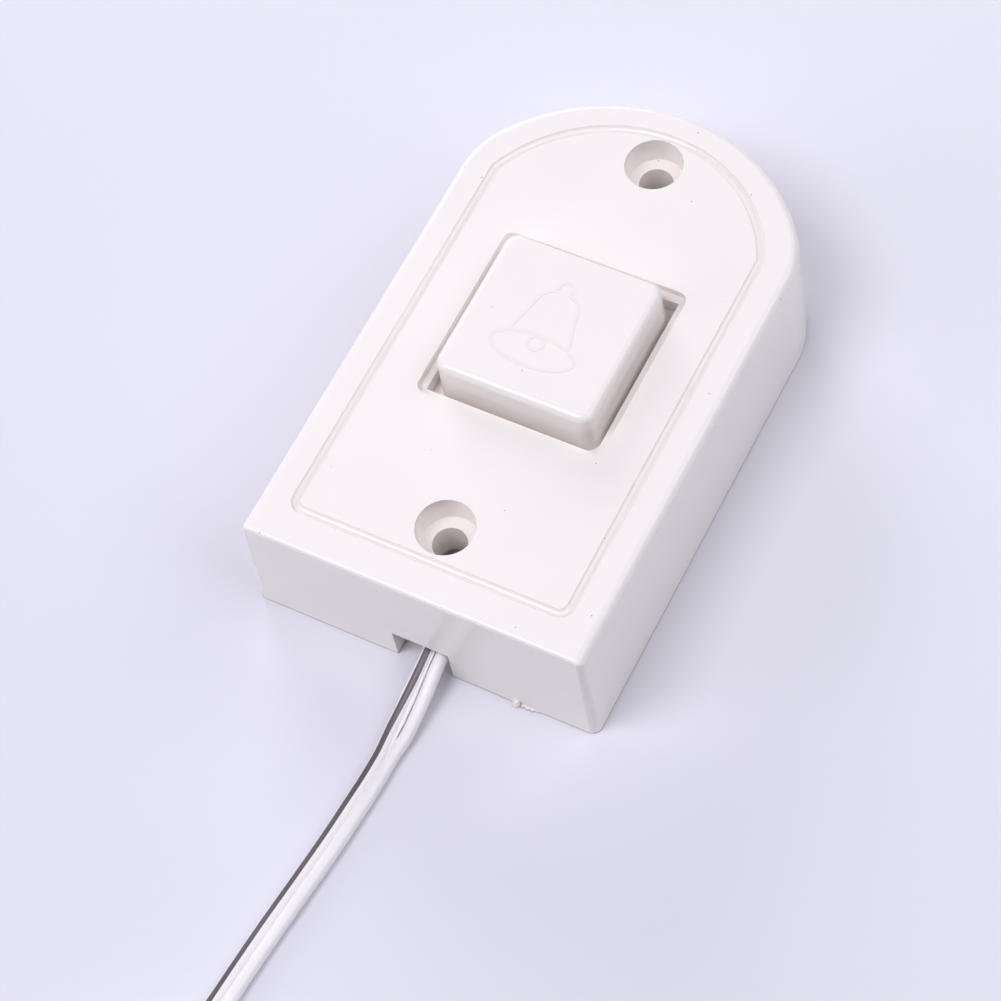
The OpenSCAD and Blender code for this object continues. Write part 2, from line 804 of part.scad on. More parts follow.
// Bare copper from a lead's end round its terminal screw, under the washer
module lead_conductor(side, start) {
    hook_r = (term_d + wire_d) / 2 + fit;
    z = strip_top + wire_d / 2 + seat / 2;
    hook = [
        for (a = [180:-30:-60])
            [side * strip_x - side * hook_r * cos(a + 180), term_y + hook_r * sin(a), z]
    ];
    approach = [side * (strip_x - hook_r - fit), (start[1] + term_y) / 2, z];
    sweep(concat([start, approach], hook), round_section(wire_d, 6));
}

module lead_conductors() {
    color(copper_tone) {
        lead_conductor(-1, lead_left_route[0]);
        lead_conductor(1, lead_right_route[0]);
    }
}

module cord_cores() {
    color(cord_white) {
        sweep(core_left_route, round_section(core_d, 8));
        sweep(core_right_route, round_section(core_d, 8));
    }
}

module cord_run() {
    color(cord_white) sweep(run_route, twin_section, run_roll);
}

// Turn, radius and height along the coil
function coil_r(t) = coil_in + coil_step * abs(t - coil_turns);
function climb(t) = let (s = min(max((t - coil_turns) * 2 + 0.5, 0), 1)) s * s * (3 - 2 * s);
function coil_at(t) =
    let (a = coil_from + 360 * t, r = coil_r(t))
    coil_mid + [r * cos(a), r * sin(a), layer_h * climb(t)];

module cord_coil() {
    count = 2 * coil_turns * coil_rings;
    turns = [for (i = [0:count]) i / coil_rings];
    gaps = [
        for (i = [0:count - coil_rings], j = [i + coil_rings:coil_rings:count])
            max(
                abs(coil_r(turns[i]) - coil_r(turns[j])) - core_d,
                abs(climb(turns[i]) - climb(turns[j])) * layer_h - cord_w
            )
    ];
    echo(coil_gap = min(gaps));
    route = concat([coil_start], [for (t = turns) coil_at(t)], [tail_start]);
    echo(coil_length = 2 * coil_turns * PI * (coil_in + coil_out) + 2 * cord_w);
    color(cord_white) sweep(route, coil_section, [for (p = route) 90]);
}

// Tie round the coil's turns, with its head on the outside
module coil_tie() {
    in_x = coil_in + coil_step / 2 - core_d / 2 - tie_gap;
    out_x = coil_out - coil_step / 2 + core_d / 2 + tie_gap;
    top = coil_start[2] + layer_h + cord_w / 2 + tie_gap;
    color("whitesmoke")
        translate([coil_mid[0], coil_mid[1], 0])
            rotate([0, 0, coil_from + 180])
                translate([0, -tie_w / 2, 0]) {
                    difference() {
                        translate([in_x - tie_t, 0, 0])
                            cube([out_x - in_x + 2 * tie_t, tie_w, top + tie_t]);
                        translate([in_x, -over, tie_t])
                            cube([out_x - in_x, tie_w + 2 * over, top - tie_t]);
                    }
                    translate([out_x + tie_t, -tie_w / 4, top / 2 - tie_w / 2])
                        cube([tie_w, 1.5 * tie_w, tie_w]);
                }
}

module cord_tail() {
    color(cord_white) {
        sweep(tail_route, twin_section, tail_roll);
        sweep(tail_left_route, round_section(core_d, 8));
        sweep(tail_right_route, round_section(core_d, 8));
    }
}

// Tinned tip that carries on from the end of a route
module tip(route) {
    end = route[len(route) - 1];
    sweep([end, end + tip_l * along(route, len(route) - 1)], round_section(wire_d, 6));
}

module tail_conductors() {
    color(steel_tone) {
        tip(tail_left_route);
        tip(tail_right_route);
    }
}

front_housing();
button_cap();
return_spring();
contact_bridge();
bridge_contacts();
contact_strip_left();
contact_strip_right();
fixed_contacts();
terminal_screws();
terminal_washers();
back_plate();
back_plate_screws();
lead_left();
lead_right();
lead_conductors();
cord_cores();
cord_run();
cord_coil();
coil_tie();
cord_tail();
tail_conductors();
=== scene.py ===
"""Wired doorbell push on a pale floor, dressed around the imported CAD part."""

import math

import bmesh
import bpy
import numpy as np
from mathutils import Matrix, Vector


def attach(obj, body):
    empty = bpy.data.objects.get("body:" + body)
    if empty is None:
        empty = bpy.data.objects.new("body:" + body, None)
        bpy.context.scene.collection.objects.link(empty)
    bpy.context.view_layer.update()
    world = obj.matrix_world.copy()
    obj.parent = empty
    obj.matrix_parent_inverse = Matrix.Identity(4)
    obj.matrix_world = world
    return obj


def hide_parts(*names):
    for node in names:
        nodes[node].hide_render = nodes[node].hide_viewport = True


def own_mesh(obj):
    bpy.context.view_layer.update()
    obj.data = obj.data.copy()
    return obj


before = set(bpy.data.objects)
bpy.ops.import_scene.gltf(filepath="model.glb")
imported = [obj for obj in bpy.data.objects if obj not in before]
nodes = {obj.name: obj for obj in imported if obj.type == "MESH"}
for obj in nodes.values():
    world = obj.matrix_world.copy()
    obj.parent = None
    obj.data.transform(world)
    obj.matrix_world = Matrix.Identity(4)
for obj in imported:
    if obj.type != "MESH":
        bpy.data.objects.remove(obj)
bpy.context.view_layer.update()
scene = bpy.context.scene
scene.view_settings.view_transform = "Standard"
MM = 0.001

# Camera at the photograph's angle: image right, image up and towards the viewer
PHOTO_PX = 1001
FOCAL_PX = 3070.29
SENSOR_MM = 36.0
RIGHT = (0.882562, 0.455086, -0.118237)
UP = (-0.347559, 0.800772, 0.487819)
BACK = (0.316681, -0.389437, 0.8649)
EYE = (0.116235, -0.159138, 0.323904)
camera_data = bpy.data.cameras.new("photo_camera")
camera_data.sensor_width = SENSOR_MM
camera_data.lens = SENSOR_MM * FOCAL_PX / PHOTO_PX
camera = bpy.data.objects.new("photo_camera", camera_data)
camera.matrix_world = Matrix((
    (RIGHT[0], UP[0], BACK[0], EYE[0]),
    (RIGHT[1], UP[1], BACK[1], EYE[1]),
    (RIGHT[2], UP[2], BACK[2], EYE[2]),
    (0, 0, 0, 1),
))
scene.collection.objects.link(camera)
scene.camera = camera


# Tools for materials
def new_material(name):
    """A material, its node tree and its shader."""
    material = bpy.data.materials.new(name)
    material.use_nodes = True
    tree = material.node_tree
    return material, tree, tree.nodes["Principled BSDF"]


def add(tree, kind, **values):
    """A new node, with values for its sockets or its own settings."""
    node = tree.nodes.new(kind)
    for key, value in values.items():
        if key in node.inputs:
            node.inputs[key].default_value = value
        else:
            setattr(node, key, value)
    return node


def noise(tree, scale, detail=3.0, stretch=None):
    """Noise in the part's frame, with its own scale along each axis where stretch is given."""
    coords = add(tree, "ShaderNodeTexCoord")
    texture = add(tree, "ShaderNodeTexNoise", Scale=scale, Detail=detail)
    source = coords.outputs["Object"]
    if stretch:
        mapping = add(tree, "ShaderNodeMapping", Scale=stretch)
        tree.links.new(source, mapping.inputs["Vector"])
        source = mapping.outputs["Vector"]
    tree.links.new(source, texture.inputs["Vector"])
    return texture.outputs["Fac"]


def ramp(tree, fac, low, high, start=0.3, end=0.7):
    """Colour from low to high as fac goes from start to end."""
    node = add(tree, "ShaderNodeValToRGB")
    node.color_ramp.elements[0].position = start
    node.color_ramp.elements[0].color = (*low, 1)
    node.color_ramp.elements[1].position = end
    node.color_ramp.elements[1].color = (*high, 1)
    tree.links.new(fac, node.inputs["Fac"])
    return node.outputs["Color"]


def spread(tree, fac, low, high, start=0.0, end=1.0):
    """Value from low to high as fac goes from start to end."""
    node = add(tree, "ShaderNodeMapRange")
    node.inputs["From Min"].default_value = start
    node.inputs["From Max"].default_value = end
    node.inputs["To Min"].default_value = low
    node.inputs["To Max"].default_value = high
    tree.links.new(fac, node.inputs["Value"])
    return node.outputs["Result"]


def bump(tree, shader, heights):
    """Layers of (height, strength, depth in metres), chained into the shader's normal."""
    before = None
    for height, strength, depth in heights:
        node = add(tree, "ShaderNodeBump", Strength=strength, Distance=depth)
        tree.links.new(height, node.inputs["Height"])
        if before is not None:
            tree.links.new(before, node.inputs["Normal"])
        before = node.outputs["Normal"]
    tree.links.new(before, shader.inputs["Normal"])


def mixed(tree, fac, colour, tone):
    """The colour, going over to a fixed tone as fac rises to 1."""
    mix = add(tree, "ShaderNodeMix", data_type="RGBA")
    tree.links.new(fac, mix.inputs["Factor"])
    tree.links.new(colour, mix.inputs[6])
    mix.inputs[7].default_value = (*tone, 1)
    return mix.outputs[2]


def height_mask(tree, start, end):
    """From 0 at one height to 1 at another, in metres."""
    coords = add(tree, "ShaderNodeTexCoord")
    parts = add(tree, "ShaderNodeSeparateXYZ")
    tree.links.new(coords.outputs["Object"], parts.inputs[0])
    return spread(tree, parts.outputs["Z"], 0, 1, start, end)


# Dust on the white plastic, painted shade in the face's groove, a painted contact shadow along the
# lower edge and a deeper tone on the bell: sizes and heights in metres, and the tones they go over to
SPECK_SIZE, SPECK_GAP, SPECK_TONE = 0.00009, 0.0032, (0.4, 0.33, 0.3)
# Painted shade in the groove, darker where ambient occlusion finds its walls close by:
GROOVE_FROM, GROOVE_TO, GROOVE_SHADE_TONE = 0.0173, 0.01745, (0.62, 0.585, 0.555)
RECESS_REACH, RECESS_DEEP, RECESS_OPEN = 0.0006, 0.5, 0.97
# Painted contact shadow along the lower edge, where the housing meets the floor:
EDGE_SHADE_START, EDGE_SHADE_FULL, EDGE_SHADE_TONE = 0.00022, 0.00008, (0.42, 0.35, 0.33)
BELL_FROM, BELL_TO, BELL_TONE = 0.02181, 0.02183, (0.902, 0.842, 0.8)


def specks(tree, colour):
    """The colour with sparse specks of dust."""
    coords = add(tree, "ShaderNodeTexCoord")
    cells = add(tree, "ShaderNodeTexVoronoi", Scale=1 / SPECK_GAP)
    tree.links.new(coords.outputs["Object"], cells.inputs["Vector"])
    near = add(tree, "ShaderNodeMath", operation="LESS_THAN")
    near.inputs[1].default_value = SPECK_SIZE / SPECK_GAP
    tree.links.new(cells.outputs["Distance"], near.inputs[0])
    return mixed(tree, near.outputs["Value"], colour, SPECK_TONE)


def painted_shade(tree, colour):
    """The colour with painted shade in the face's groove, darker where its walls are close by, and a
    painted contact shadow along the lower edge.
    """
    # Painted shade: ambient occlusion darkens the groove towards its tone
    recess = add(
        tree, "ShaderNodeAmbientOcclusion", samples=4, only_local=True, Distance=RECESS_REACH,
    )
    fade = spread(tree, recess.outputs["AO"], 1, 0, RECESS_DEEP, RECESS_OPEN)
    in_groove = add(tree, "ShaderNodeMath", operation="MULTIPLY")
    tree.links.new(fade, in_groove.inputs[0])
    tree.links.new(height_mask(tree, GROOVE_FROM, GROOVE_TO), in_groove.inputs[1])
    colour = mixed(tree, in_groove.outputs["Value"], colour, GROOVE_SHADE_TONE)
    # Painted contact shadow: darker over the lowest fraction of a millimetre of the walls
    return mixed(tree, height_mask(tree, EDGE_SHADE_START, EDGE_SHADE_FULL), colour, EDGE_SHADE_TONE)


def faint_bell(tree, colour):
    """The colour, a little deeper on the raised bell."""
    return mixed(tree, height_mask(tree, BELL_FROM, BELL_TO), colour, BELL_TONE)


# Scales of the noises, per metre, and strengths and depths of the bumps, in metres
CLOUDS, GLOSS_WAVES, GRAIN, SLOW_WAVES = 90.0, 260.0, 5200.0, 240.0
GRAIN_DEPTH, WAVE_STRENGTH, WAVE_DEPTH = 0.00002, 0.04, 0.0002
PLASTIC_IOR = 1.5
STREAKS, STREAK_GLOSS = (900.0, 6000.0, 900.0), 1500.0
STREAK_STRENGTH, STREAK_DEPTH = 0.12, 0.00002


def plastic(name, low, high, rough, grain=0.05, tone_and_shade=None):
    """Moulded plastic: faint cloudy tone, fine grain, slow waves in its gloss and, where given, specks
    of dust with a further tone or painted shade over them.
    """
    material, tree, shader = new_material(name)
    colour = ramp(tree, noise(tree, CLOUDS, 2.0), low, high)
    if tone_and_shade:
        colour = tone_and_shade(tree, specks(tree, colour))
    tree.links.new(colour, shader.inputs["Base Color"])
    gloss = spread(tree, noise(tree, GLOSS_WAVES), rough[0], rough[1])
    tree.links.new(gloss, shader.inputs["Roughness"])
    shader.inputs["IOR"].default_value = PLASTIC_IOR
    fine, slow = noise(tree, GRAIN, 2.0), noise(tree, SLOW_WAVES, 1.0)
    bump(tree, shader, [(fine, grain, GRAIN_DEPTH), (slow, WAVE_STRENGTH, WAVE_DEPTH)])
    return material


def metal(name, low, high, rough):
    """Bare or plated metal with drawn or rolled streaks."""
    material, tree, shader = new_material(name)
    streaks = noise(tree, 1.0, 4.0, STREAKS)
    tree.links.new(ramp(tree, streaks, low, high), shader.inputs["Base Color"])
    gloss = spread(tree, noise(tree, STREAK_GLOSS), rough[0], rough[1])
    tree.links.new(gloss, shader.inputs["Roughness"])
    shader.inputs["Metallic"].default_value = 1.0
    bump(tree, shader, [(streaks, STREAK_STRENGTH, STREAK_DEPTH)])
    return material


# Materials: darker and lighter tone, and the least and greatest roughness
WHITE_LOW, WHITE_HIGH, WHITE_ROUGH = (0.926, 0.873, 0.831), (0.938, 0.885, 0.843), (0.2, 0.26)
# The housing's colour carries painted shade in its groove and a painted contact shadow along its lower
# edge
housing_white = plastic("housing_white", WHITE_LOW, WHITE_HIGH, WHITE_ROUGH, tone_and_shade=painted_shade)
button_white = plastic("button_white", WHITE_LOW, WHITE_HIGH, WHITE_ROUGH, tone_and_shade=faint_bell)
plate_white = plastic("plate_white", (0.82, 0.775, 0.745), (0.86, 0.815, 0.785), (0.5, 0.62), 0.12)
cord_white = plastic("cord_white", (0.875, 0.842, 0.84), (0.905, 0.872, 0.87), (0.28, 0.38), 0.03)
cord_stripe = plastic("cord_stripe", (0.115, 0.096, 0.1), (0.155, 0.133, 0.138), (0.3, 0.4), 0.03)
tie_nylon = plastic("tie_nylon", (0.78, 0.78, 0.76), (0.85, 0.85, 0.83), (0.35, 0.5))
brass = metal("contact_brass", (0.66, 0.48, 0.2), (0.78, 0.6, 0.29), (0.25, 0.4))
silver = metal("contact_silver", (0.72, 0.72, 0.7), (0.84, 0.83, 0.81), (0.22, 0.36))
zinc = metal("zinc_steel", (0.55, 0.56, 0.58), (0.7, 0.71, 0.73), (0.28, 0.42))
spring_steel = metal("spring_steel", (0.5, 0.51, 0.53), (0.66, 0.67, 0.69), (0.22, 0.34))
copper = metal("copper", (0.72, 0.36, 0.22), (0.84, 0.48, 0.32), (0.28, 0.42))
tinned = metal("tinned_copper", (0.62, 0.62, 0.63), (0.74, 0.74, 0.75), (0.3, 0.45))


def dress(material, *names):
    """Gives CAD nodes a material."""
    for name in names:
        nodes[name].data.materials.clear()
        nodes[name].data.materials.append(material)


dress(housing_white, "front_housing")
dress(button_white, "button_cap")
dress(plate_white, "back_plate")
dress(brass, "contact_bridge", "contact_strip_left", "contact_strip_right")
dress(silver, "bridge_contacts", "fixed_contacts")
dress(zinc, "terminal_screws", "terminal_washers", "back_plate_screws")
dress(copper, "lead_conductors")
dress(tinned, "tail_conductors")
dress(tie_nylon, "coil_tie")


# Housing and cap: pieces that stand for their nodes, with small corrections after the photograph
def reshaped(node, name, body, move):
    """A piece with the form and material of a node, each point moved by move(point), in metres."""
    mesh = nodes[node].data.copy()
    mesh.name = name
    for vert in mesh.vertices:
        vert.co += Vector(move(vert.co))
    mesh.update()
    piece = bpy.data.objects.new(name, mesh)
    scene.collection.objects.link(piece)
    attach(piece, body)
    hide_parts(node)


BELL_WORN = 0.00005
FRONT_FROM, FRONT_TOP = -0.035, 0.018
FRONT_OUT_LOW, FRONT_OUT_HIGH = 0.0003, 0.00055
LEFT_FROM, LEFT_FLARE = -0.0215, 0.00085


def worn_bell(p):
    """The bell's outline is worn down to a faint line."""
    return (0, 0, -BELL_WORN if p.z > BELL_TO else 0)


def upright_front(p):
    """The front wall stands out a little, most at its top, and its left end is wider at the base."""
    if p.y > FRONT_FROM:
        return (0, 0, 0)
    up = p.z / FRONT_TOP
    flare = LEFT_FLARE * (1 - up) if p.x < LEFT_FROM else 0
    return (-flare, -(FRONT_OUT_LOW + (FRONT_OUT_HIGH - FRONT_OUT_LOW) * up), 0)


reshaped("button_cap", "bell_cap", "button", worn_bell)
reshaped("front_housing", "housing_shell", "housing", upright_front)

# Cord: two round cores side by side, split near the notch, with a dark stripe on the left core.
# Its routes are those of part.scad, in mm
CORE_R = 0.825
CORE_APART = 0.8
FRONT_Y = -36.5
HOLE_LOW = FRONT_Y + 9.4
LEAD_Z = 2.725
LEAD_R = 6.475
LEAD_TOP = (8.18, -21.64, 4.9125)
LEAD_SINK = (0, 0.35, 0.65)
LEAD_CLIMB = (0, 0, 0.05, 0.2)
LEAD_LAST_IN, LEAD_LAST_CLIMB = 2.6 * CORE_R, 0.6
EXIT_LEFT = 0.55
EXIT_RIGHT = 2.3
EXIT_Z = 3.8975


def out(x, d, z=CORE_R):
    """A point at distance d in front of the front wall."""
    return np.array([x, FRONT_Y - d, z])


def beside(degrees):
    """A point beside the lower screw tube, at an angle from +X."""
    a = math.radians(degrees)
    return np.array([LEAD_R * math.cos(a), HOLE_LOW + LEAD_R * math.sin(a), LEAD_Z])


def lead_route(top, angles, x):
    """One core from its terminal, down beside the screw tube and up again to the notch."""
    top, low = np.array(top), beside(angles[0])
    sunk = []
    for s in LEAD_SINK:
        point = low + (top - low) * (1 - s)
        point[2] += (low - top)[2] * (1 - s) * s
        sunk.append(point)
    rise = EXIT_Z - LEAD_Z
    round_tube = [beside(a) + np.array([0, 0, s * rise]) for a, s in zip(angles, LEAD_CLIMB)]
    turn = (beside(angles[-1])[0] + 2 * x) / 3
    last = out(turn, -LEAD_LAST_IN, LEAD_Z + LEAD_LAST_CLIMB * rise)
    return sunk + round_tube + [last, out(x, -CORE_R, EXIT_Z)]


def up_to_notch(s):
    """Height at part s of the way up from the floor to the notch."""
    return CORE_R + (EXIT_Z - CORE_R) * s


LEAD_LEFT = lead_route((-LEAD_TOP[0], LEAD_TOP[1], LEAD_TOP[2]), (195, 217, 238, 256), EXIT_LEFT)
LEAD_RIGHT = lead_route(LEAD_TOP, (-15, -35, -53, -67), EXIT_RIGHT)
SPLIT_LEFT = [
    out(EXIT_LEFT, -CORE_R, EXIT_Z), out(EXIT_LEFT, 1.5, up_to_notch(0.82)),
    out(0.45, 4, up_to_notch(0.56)), out(0.35, 7, up_to_notch(0.29)), out(0.3, 10, up_to_notch(0.09)),
]
SPLIT_RIGHT = [
    out(EXIT_RIGHT, -CORE_R, EXIT_Z), out(EXIT_RIGHT, 1.5, up_to_notch(0.82)),
    out(2.38, 4, up_to_notch(0.56)), out(2.42, 7, up_to_notch(0.29)), out(2.38, 10, up_to_notch(0.09)),
]
RUN = [
    out(1.25, 13), out(1.2, 16.5), out(0.95, 20.5), out(0.6, 25.5), out(0, 31.5), out(-0.6, 37),
    out(-1.1, 42.5), out(-1.5, 47.5), out(-2, 51, 1.1), out(-2.9, 54.2, 1.6), out(-4.2, 57.3, 2),
    out(-5.9, 60.3, 2.25), out(-7.9, 63.1, 2.25),
]
RUN_ROLL = [0, 0, 0, 0, 0, 0, 0, 0, 25, 50, 75, 90, 90]
COIL_IN, COIL_STEP, COIL_TURNS, COIL_POINTS = 10.0, 2.8, 6, 56
COIL_OUT = COIL_IN + COIL_STEP * COIL_TURNS
COIL_AFTER = 4 * CORE_R
LAYER_H = 4 * CORE_R + 0.75
COIL_FROM = math.radians(140)
COIL_OUTWARD = np.array([math.cos(COIL_FROM), math.sin(COIL_FROM), 0])
COIL_HEADING = np.array([-math.sin(COIL_FROM), math.cos(COIL_FROM), 0])
COIL_MID = RUN[-1] + COIL_AFTER * COIL_HEADING - COIL_OUT * COIL_OUTWARD
TAIL = [
    RUN[-1] + 2 * COIL_AFTER * COIL_HEADING + np.array([0, 0, LAYER_H]), out(-14.8, 71.2, 6),
    out(-17.4, 74.8, 4.8), out(-19.4, 78.7, 3.4), out(-20.6, 82.7, 2), out(-21, 86.7, 1.1),
    out(-21.2, 90.3),
]
TAIL_ROLL = [90, 90, 75, 50, 25, 8, 0]
TAIL_LEFT = [out(-22.6, 93.8), out(-23.2, 96.8)]
TAIL_RIGHT = [out(-20, 93.8), out(-19.4, 96.8)]


def coil_at(t):
    """The coil's line after t turns: inwards in the lower layer, then outwards in the upper one."""
    r = COIL_IN + COIL_STEP * abs(t - COIL_TURNS)
    s = min(max((t - COIL_TURNS) * 2 + 0.5, 0), 1)
    a = COIL_FROM + 2 * math.pi * t
    return COIL_MID + np.array([r * math.cos(a), r * math.sin(a), LAYER_H * s * s * (3 - 2 * s)])


COIL = [coil_at(i / COIL_POINTS) for i in range(2 * COIL_TURNS * COIL_POINTS + 1)]
COIL_ROLL = [90] * len(COIL)


def frames(points):
    """At each point of a line, its level side and what is upright to both."""
    along = np.gradient(np.array(points), axis=0)
    along /= np.linalg.norm(along, axis=1)[:, None]
    side = np.cross(along, (0, 0, 1))
    side /= np.linalg.norm(side, axis=1)[:, None]
    return side, np.cross(side, along)


def smooth(stations, step):
    """Points every step along a smooth curve through stations; further columns follow it."""
    stations = np.array(stations, float)
    padded = np.vstack([2 * stations[0] - stations[1], stations, 2 * stations[-1] - stations[-2]])
    points = []
    for i in range(1, len(padded) - 2):
        p0, p1, p2, p3 = padded[i - 1:i + 3]
        count = max(2, round(np.linalg.norm((p2 - p1)[:3]) / step))
        for k in range(count):
            s = k / count
            points.append(0.5 * (
                2 * p1 + (p2 - p0) * s + (2 * p0 - 5 * p1 + 4 * p2 - p3) * s * s
                + (3 * p1 - p0 - 3 * p2 + p3) * s ** 3
            ))
    points.append(stations[-1])
    return np.array(points)


def way_along(line):
    """Length of a line up to each of its points."""
    return np.concatenate([[0], np.cumsum(np.linalg.norm(np.diff(line, axis=0), axis=1))])


def beside_pair(points, rolls, sign):
    """The line of one core, beside the middle of the pair."""
    side, upright = frames(points)
    rolls = np.radians(np.array(rolls, float))[:, None]
    return np.array(points) + sign * CORE_APART * (side * np.cos(rolls) + upright * np.sin(rolls))


def with_rolls(parts):
    """Stations of x, y, z and roll, from parts of (points, rolls)."""
    return np.vstack([np.column_stack([np.array(points), rolls]) for points, rolls in parts])


def core_stations(sign, split, tail):
    """One core from the notch to its stripped end."""
    return with_rolls([
        (split, [0] * len(split)),
        (beside_pair(RUN, RUN_ROLL, sign), RUN_ROLL),
        (beside_pair(COIL, COIL_ROLL, sign), COIL_ROLL),
        (beside_pair(TAIL, TAIL_ROLL, sign), TAIL_ROLL),
        (tail, [0] * len(tail)),
    ])


# The stripe's edges, in degrees over the core from its outer side, at places along it in mm
STRIPE_AT = (0, 5, 13, 30)
STRIPE_LOW = (56, 61, 55, 49)
STRIPE_HIGH = (119, 125, 105, 98)
STRIPE_FACES, SKIN_FACES = 5, 15


def ring_angles(low, high):
    """Angles round a core: across the stripe, then on round the skin."""
    stripe = np.linspace(low, high, STRIPE_FACES, endpoint=False)
    skin = np.linspace(high, low + 360, SKIN_FACES, endpoint=False)
    return np.radians(np.concatenate([stripe, skin]))


def join_rings(bm, near, far):
    """Smooth faces between two rings of points."""
    following = [(k + 1) % len(near) for k in range(len(near))]
    faces = [bm.faces.new((near[k], near[n], far[n], far[k])) for k, n in enumerate(following)]
    for face in faces:
        face.smooth = True
    return faces


def tube(bm, line, rolls, sign, radius, striped, along=None):
    """One core's skin: rings of points, with the stripe's faces in the second material."""
    side, upright = frames(line)
    along = way_along(line) if along is None else along
    lows = np.interp(along, STRIPE_AT, STRIPE_LOW)
    highs = np.interp(along, STRIPE_AT, STRIPE_HIGH)
    rings = []
    for p, s, u, roll, low, high in zip(line, side, upright, np.radians(rolls), lows, highs):
        outward = sign * (s * math.cos(roll) + u * math.sin(roll))
        top = u * math.cos(roll) - s * math.sin(roll)
        rings.append([
            bm.verts.new(MM * (p + radius * (outward * math.cos(a) + top * math.sin(a))))
            for a in ring_angles(low, high)
        ])
    for near, far in zip(rings, rings[1:]):
        for k, face in enumerate(join_rings(bm, near, far)):
            face.material_index = 1 if striped and k < STRIPE_FACES else 0
    for ring, middle in ((rings[0], line[0]), (rings[-1], line[-1])):
        hub = bm.verts.new(MM * np.array(middle))
        for k in range(len(ring)):
            bm.faces.new((hub, ring[k], ring[(k + 1) % len(ring)]))


def strip(bm, line, rolls, sections):
    """A bar along a line, with its section's points across and above it at each place."""
    side, upright = frames(line)
    rings = []
    for p, s, u, roll, section in zip(line, side, upright, np.radians(rolls), sections):
        across = s * math.cos(roll) + u * math.sin(roll)
        top = u * math.cos(roll) - s * math.sin(roll)
        rings.append([bm.verts.new(MM * (p + across * x + top * z)) for x, z in section])
    for near, far in zip(rings, rings[1:]):
        join_rings(bm, near, far)
    bm.faces.new(rings[0])
    bm.faces.new(rings[-1])


def ripple(s, rows):
    """Sum of waves at place s, from rows of height, pace and phase."""
    return sum(height * math.sin(pace * s + phase) for height, pace, phase in rows)


def finish_mesh(name, bm, *materials):
    """A piece of a mesh, with its materials."""
    bmesh.ops.recalc_face_normals(bm, faces=bm.faces)
    mesh = bpy.data.meshes.new(name)
    bm.to_mesh(mesh)
    bm.free()
    for material in materials:
        mesh.materials.append(material)
    piece = bpy.data.objects.new(name, mesh)
    scene.collection.objects.link(piece)
    return piece


# The thin skin that joins the two cores, and the distances from the front wall where it starts and ends
WEB_HALF_W, WEB_HALF_T, WEB_MID_T = 0.5, 0.36, 0.3
WEB_SECTION = [
    (-WEB_HALF_W, WEB_HALF_T), (0, WEB_MID_T), (WEB_HALF_W, WEB_HALF_T),
    (WEB_HALF_W, -WEB_HALF_T), (0, -WEB_MID_T), (-WEB_HALF_W, -WEB_HALF_T),
]
WEB_START, WEB_END = 12, 90

# What is left of that skin on the left core where the pair is split: its width and its height over the
# core's middle, at places along the core
FIN_AT = (0, 4, 7, 10, 14)
FIN_W = (0.14, 0.26, 0.44, 0.48, 0.3)
FIN_LIFT = (0.46, 0.43, 0.4, 0.34, 0.22)
FIN_TO = 15.5
FIN_ROOT = 0.12
FIN_THIN, FIN_THICK = 0.11, 0.25
FIN_RAGGED = ((0.03, 2.1, 0), (0.02, 5.3, 1))


def fin_section(s):
    """Section of the torn skin at place s along the left core."""
    ragged = ripple(s, FIN_RAGGED)
    lift = np.interp(s, FIN_AT, FIN_LIFT)
    skin = math.sqrt(CORE_R ** 2 - lift ** 2)
    root, lip = FIN_ROOT - skin, -(skin + np.interp(s, FIN_AT, FIN_W) + ragged)
    return [
        (root, lift), (lip, lift + ragged), (lip, lift + ragged - FIN_THIN), (root, lift - FIN_THICK),
    ]


CORD_STEP, FIN_STEP, LEAD_STEP = 1.1, 0.4, 0.6
cord_stations = with_rolls([
    ((np.array(SPLIT_LEFT) + np.array(SPLIT_RIGHT)) / 2, [0] * len(SPLIT_LEFT)),
    (RUN, RUN_ROLL),
    (COIL, COIL_ROLL),
    (TAIL, TAIL_ROLL),
    ((np.array(TAIL_LEFT) + np.array(TAIL_RIGHT)) / 2, [0] * len(TAIL_LEFT)),
])
cord_line = smooth(cord_stations, CORD_STEP)
cord_y = cord_line[:, 1]
web_from = np.flatnonzero(cord_y < FRONT_Y - WEB_START)[0]
web_to = np.flatnonzero(cord_y > FRONT_Y - WEB_END)[-1]
web_line = cord_line[web_from:web_to]

bm = bmesh.new()
for sign, split, tail in ((1, SPLIT_LEFT, TAIL_LEFT), (-1, SPLIT_RIGHT, TAIL_RIGHT)):
    core = smooth(core_stations(sign, split, tail), CORD_STEP)
    tube(bm, core[:, :3], core[:, 3], sign, CORE_R, sign == 1)
strip(bm, web_line[:, :3], web_line[:, 3], [WEB_SECTION] * len(web_line))
left_core = smooth(core_stations(1, SPLIT_LEFT, TAIL_LEFT), FIN_STEP)
along = way_along(left_core[:, :3])
torn = along < FIN_TO
strip(bm, left_core[torn, :3], left_core[torn, 3], [fin_section(s) for s in along[torn]])
flat_cord = finish_mesh("flat_cord", bm, cord_white, cord_stripe)
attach(flat_cord, "housing")
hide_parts("cord_cores", "cord_run", "cord_coil", "cord_tail")

# The cores inside the housing
bm = bmesh.new()
for sign, route in ((1, LEAD_LEFT), (-1, LEAD_RIGHT)):
    line = smooth(route, LEAD_STEP)
    tube(bm, line, np.zeros(len(line)), sign, CORE_R, sign == 1, np.zeros(len(line)))
inner_leads = finish_mesh("inner_leads", bm, cord_white, cord_stripe)
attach(inner_leads, "housing")
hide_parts("lead_left", "lead_right")

